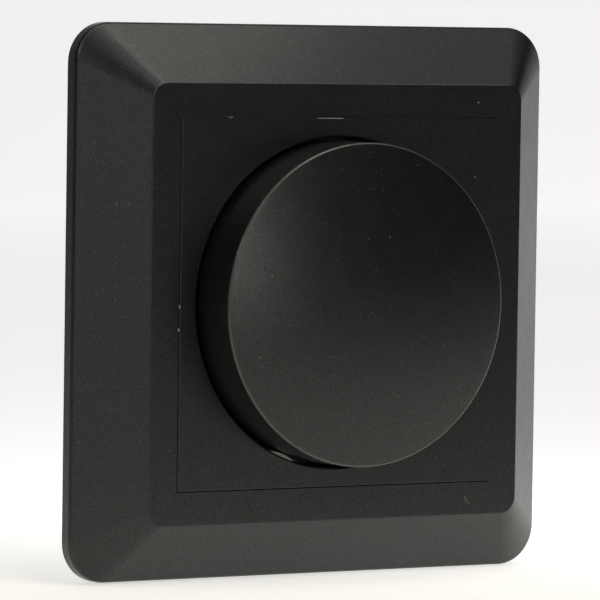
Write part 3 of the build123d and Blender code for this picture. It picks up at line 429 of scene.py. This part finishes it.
# Marks just clear of the flat front: x and z of a middle line, half its width and what it is
markLevel = 9.82
frontMarks = {
    "ringLint": {"line": ((23.2, -29.5), (23.25, -29.9), (23.5, -30.3), (24.05, -30.7)),
                 "half": 0.13, "of": lintMaterial},
    "ringSpeckTop": {"line": ((24.40, 29.73), (24.67, 29.73)), "half": 0.10, "of": dustMaterial},
    "plateSpeckRight": {"line": ((24.07, 18.7), (24.17, 18.35)), "half": 0.085, "of": dustMaterial},
    "seamNick": {"line": ((-19.5, 27.33), (-19.1, 27.35), (-18.7, 27.33)),
                 "half": 0.10, "of": lintMaterial},
    "ringSpeckLeft": {"line": ((-28.70, -21.05), (-28.66, -21.45)), "half": 0.10, "of": lintMaterial},
    "seamSpeckHigh": {"line": ((-27.39, 0.0), (-27.38, -0.55)), "half": 0.11, "of": dustMaterial},
    "seamSpeckLow": {"line": ((-27.50, -3.4), (-27.49, -3.85)), "half": 0.13, "of": dustMaterial},
}
for name, mark in frontMarks.items():
    line = mark["line"]
    along = Vector(line[-1]) - Vector(line[0])
    across = Vector((along.y, -along.x)).normalized() * mark["half"]
    rows = [[(x + s * across.x, -markLevel, z + s * across.y) for x, z in line] for s in (1, -1)]
    makeRibbon(name, *rows, mark["of"])

# Painted highlights on moulded edges: pale grey, dry plastic in place of the light they catch
paintedHighlightLook = {"colour": "#868583", "shade": "#686765", "roughness": (0.45, 0.6), "size": 0.3, "depth": 0.01}
lipHighlightMaterial = makeFinish("paintedLipHighlight", paintedHighlightLook)
# a brighter painted highlight for the pry edge
pryHighlightLook = {**paintedHighlightLook, "colour": "#b6b5b3", "shade": "#a09f9d"}
pryHighlightMaterial = makeFinish("paintedPryEdgeHighlight", pryHighlightLook)

# Painted highlight on the lip of the recess beside the knob: a pale crescent, with radii and level in mm
# and angles in degrees
lipLook = {"outer": 24.62, "inner": 24.08, "level": 9.62, "from": 241.8, "to": 253.6, "steps": 16}
rows = ([], [])
for i in range(lipLook["steps"] + 1):
    turnAngle = math.radians(lipLook["from"] + (lipLook["to"] - lipLook["from"]) * i / lipLook["steps"])
    swell = math.sin(math.pi * i / lipLook["steps"])
    reach = lipLook["outer"] + (lipLook["inner"] - lipLook["outer"]) * swell
    for row, r in zip(rows, (lipLook["outer"], reach)):
        row.append((r * math.cos(turnAngle), -lipLook["level"], r * math.sin(turnAngle)))
makeRibbon("lipHighlightCrescent", *rows, lipHighlightMaterial)

# Painted highlight along the pry edge: over the plate's own edge, then down in the notch; z and depth of
# the lower and the upper side
pryEdge = {
    "overPlate": {"x": (-4.1, -3.62), "low": (27.21, 9.805), "high": (27.30, 9.77)},
    "inNotch": {"x": (-3.58, 0.55), "low": (27.21, 9.665), "high": (27.32, 9.555)},
}
rows = [[(x, -part[side][1], part[side][0]) for part in pryEdge.values() for x in part["x"]]
        for side in ("low", "high")]
makeRibbon("pryEdgeHighlight", *rows, pryHighlightMaterial)

# The joint round the plate is closed on the right, nearly so above and a little narrower below:
# each strip lies between two edges, measured from the middle of the plate
seamLook = {
    "level": 9.803, "flat": 27.18, "opening": 27.5,
    "slitLeft": 0.015, "slitRight": 0.05,   # left open above, on each side of the notch
    "lessBelow": 0.05,                      # taken off the joint below
}
flat, opening = seamLook["flat"], seamLook["opening"]
seamStrips = {
    "seamRight": {"side": "right", "along": (-opening, opening), "edges": (flat, opening)},
    "seamTop": {"side": "top", "along": (-27.1, -4.15),
                "edges": (flat, opening - seamLook["slitLeft"])},
    "seamTopRight": {"side": "top", "along": (0.7, opening),
                     "edges": (flat, opening - seamLook["slitRight"])},
    "seamBelow": {"side": "below", "along": (-27.3, opening),
                  "edges": (-opening, seamLook["lessBelow"] - opening)},
}
for name, strip in seamStrips.items():
    rows = []
    for edge in strip["edges"]:
        spots = [(edge, t) if strip["side"] == "right" else (t, edge) for t in strip["along"]]
        rows.append([(x, -seamLook["level"], z) for x, z in spots])
    makeRibbon(name, *rows, satinMaterial)
print("marks made")

# Camera at the photograph's angle, a long lens at 0.83 m
cameraLook = {"place": (-0.4458, -0.7040, 0.0411), "right": (0.8454, -0.5339, 0.01485),
              "up": (0.01386, 0.04972, 0.99867), "lens": 334.65, "sensor": 36.0, "clip": 0.01}
cam = bpy.data.cameras.new("camera")
cam.lens = cameraLook["lens"]
cam.sensor_width = cameraLook["sensor"]
cam.clip_start = cameraLook["clip"]
camObject = bpy.data.objects.new("camera", cam)
right = Vector(cameraLook["right"]).normalized()
back = right.cross(Vector(cameraLook["up"])).normalized()
up = back.cross(right)
turn = Matrix((right, up, back)).transposed().to_4x4()
camObject.matrix_world = Matrix.Translation(cameraLook["place"]) @ turn
bpy.context.scene.collection.objects.link(camObject)
bpy.context.scene.camera = camObject

# Acrylic light table, cast and pale, that sweeps up behind: it glows from below,
# more behind the part and close to it, less to either side. Lengths are in metres
floorLook = {
    "colour": "#d9d7d3", "warm": "#fffdf7", "cool": "#fefeff", "roughness": 0.9,
    "half": 6.0, "back": 1.4, "sweep": 0.5, "sweepSteps": 12, "height": 2.2,
    "gap": 0.2,                            # mm under the part
    "glow": 0.14, "glowBehind": 0.74, "glowAside": 0.15, "glowNear": 0.40,
    "toBack": (0.5, 0.87, 0.0),            # the glow rises this way
    "rise": (-0.05, 0.15),
    "toRight": (0.845, -0.534, 0.0),       # and fades on both sides of a middle along this
    "middle": 0.34, "fade": (0.48, 0.94),
    "nearScale": (0.4, 1.0, 0.0),          # makes the glow under the part an oval
    "nearShift": (-0.006, 0.02, 0.0), "nearReach": (0.22, 0.01),
}


def makeFloor(look):
    low = cadBox[0][2] - look["gap"] * mm
    profile = [(-look["half"], low), (look["back"], low)]
    for i in range(1, look["sweepSteps"] + 1):
        a = math.radians(90 * i / look["sweepSteps"])
        profile.append((look["back"] + look["sweep"] * math.sin(a),
                        low + look["sweep"] * (1 - math.cos(a))))
    profile.append((look["back"] + look["sweep"], low + look["height"]))
    verts = [(x, y, z) for y, z in profile for x in (-look["half"], look["half"])]
    faces = [(2 * i, 2 * i + 1, 2 * i + 3, 2 * i + 2) for i in range(len(profile) - 1)]
    mesh = bpy.data.meshes.new("floor")
    mesh.from_pydata(verts, [], faces)
    mesh.shade_smooth()
    floor = bpy.data.objects.new("floor", mesh)
    bpy.context.scene.collection.objects.link(floor)
    mat, tree, where = startMaterial("paleCastAcrylic")
    # from the front's glow to that behind, which fades to both sides of its middle
    behind = addNode(tree, "ShaderNodeVectorMath", {
        "operation": "DOT_PRODUCT", 1: look["toBack"]}, {0: where})
    rise = addNode(tree, "ShaderNodeMapRange", {
        "interpolation_type": "SMOOTHSTEP", "From Min": look["rise"][0], "From Max": look["rise"][1]}, {
        "Value": behind.outputs["Value"]})
    across = addNode(tree, "ShaderNodeVectorMath", {
        "operation": "DOT_PRODUCT", 1: look["toRight"]}, {0: where})
    offMiddle = addNode(tree, "ShaderNodeMath", {
        "operation": "SUBTRACT", 1: look["middle"]}, {0: across.outputs["Value"]})
    aside = addNode(tree, "ShaderNodeMath", {"operation": "ABSOLUTE"}, {0: offMiddle.outputs[0]})
    rear = addNode(tree, "ShaderNodeMapRange", {
        "interpolation_type": "SMOOTHSTEP", "From Min": look["fade"][0], "From Max": look["fade"][1],
        "To Min": look["glowBehind"], "To Max": look["glowAside"]}, {"Value": aside.outputs[0]})
    glow = addNode(tree, "ShaderNodeMix", {"data_type": "FLOAT", valueA: look["glow"]}, {
        0: rise.outputs["Result"], valueB: rear.outputs["Result"]})
    # an oval of brighter glow under the part
    wide = addNode(tree, "ShaderNodeVectorMath", {
        "operation": "MULTIPLY_ADD", 1: look["nearScale"], 2: look["nearShift"]}, {0: where})
    away = addNode(tree, "ShaderNodeVectorMath", {"operation": "LENGTH"}, {0: wide.outputs["Vector"]})
    close = addNode(tree, "ShaderNodeMapRange", {
        "interpolation_type": "SMOOTHSTEP", "From Min": look["nearReach"][0],
        "From Max": look["nearReach"][1], "To Min": 0.0, "To Max": look["glowNear"]}, {
        "Value": away.outputs["Value"]})
    total = addNode(tree, "ShaderNodeMath", {"operation": "ADD"}, {
        0: glow.outputs[0], 1: close.outputs["Result"]})
    light = addNode(tree, "ShaderNodeMix", {
        "data_type": "RGBA", colourA: linear(look["warm"]), colourB: linear(look["cool"])}, {
        0: rise.outputs["Result"]})
    shader = addNode(tree, "ShaderNodeBsdfPrincipled", {
        "Base Color": linear(look["colour"]), "Roughness": look["roughness"]}, {
        "Emission Color": light.outputs[colourOut], "Emission Strength": total.outputs[0]})
    addNode(tree, "ShaderNodeOutputMaterial", None, {"Surface": shader.outputs["BSDF"]})
    mesh.materials.append(mat)


makeFloor(floorLook)

# Soft boxes that face the part: place in metres, width and height in metres, watts
boxLook = {"colour": "#fffef8", "spread": 120}  # spread in degrees
softBoxes = {
    "frontRight": {"place": (0.07, -0.97, 0.16), "size": (0.26, 0.32), "watts": 0.31},
    "frontLow": {"place": (0.14, -0.90, 0.01), "size": (0.18, 0.12), "watts": 0.053},
    "frontHigh": {"place": (-0.20, -0.80, 0.56), "size": (0.22, 0.22), "watts": 0.3},
    "leftSide": {"place": (-0.77, -0.43, 0.47), "size": (0.24, 0.24), "watts": 0.44},
    "leftLow": {"place": (-0.76, -0.64, 0.07), "size": (0.55, 0.20), "watts": 0.179},
    "overheadLeft": {"place": (-0.16, -0.06, 0.34), "size": (0.20, 0.34), "watts": 0.09},
    "overheadMid": {"place": (0.02, -0.04, 0.34), "size": (0.14, 0.34), "watts": 0.085},
    "overheadNear": {"place": (0.018, -0.02, 0.14), "size": (0.09, 0.05), "watts": 0.0085},
    "overheadRight": {"place": (0.14, -0.02, 0.34), "size": (0.10, 0.34), "watts": 0.022},
    "overheadFar": {"place": (0.26, 0.02, 0.34), "size": (0.14, 0.34), "watts": 0.018},
    "overheadRim": {"place": (0.25, -0.22, 0.34), "size": (0.14, 0.14), "watts": 0.045},
    "overheadFront": {"place": (0.06, -0.30, 0.34), "size": (0.28, 0.14), "watts": 0.225},
    "rightBehind": {"place": (0.80, 0.42, 0.10), "size": (0.70, 0.40), "watts": 0.16},
}
for name, box in softBoxes.items():
    lamp = bpy.data.lights.new(name, "AREA")
    lamp.shape = "RECTANGLE"
    lamp.size, lamp.size_y = box["size"]
    lamp.energy = box["watts"]
    lamp.color = linear(boxLook["colour"])[:3]
    lamp.spread = math.radians(boxLook["spread"])
    lampObject = bpy.data.objects.new(name, lamp)
    lampObject.location = box["place"]
    lampObject.rotation_euler = Vector(box["place"]).to_track_quat("Z", "Y").to_euler()
    lampObject.visible_camera = False
    bpy.context.scene.collection.objects.link(lampObject)

# A trace of light from all round
roomLook = {"colour": "#ffffff", "strength": 0.006}
world = bpy.data.worlds.new("studio")
bpy.context.scene.world = world
world.use_nodes = True
background = world.node_tree.nodes["Background"]
background.inputs["Color"].default_value = linear(roomLook["colour"])
background.inputs["Strength"].default_value = roomLook["strength"]
bpy.context.scene.view_settings.view_transform = "Standard"
print("stage set")
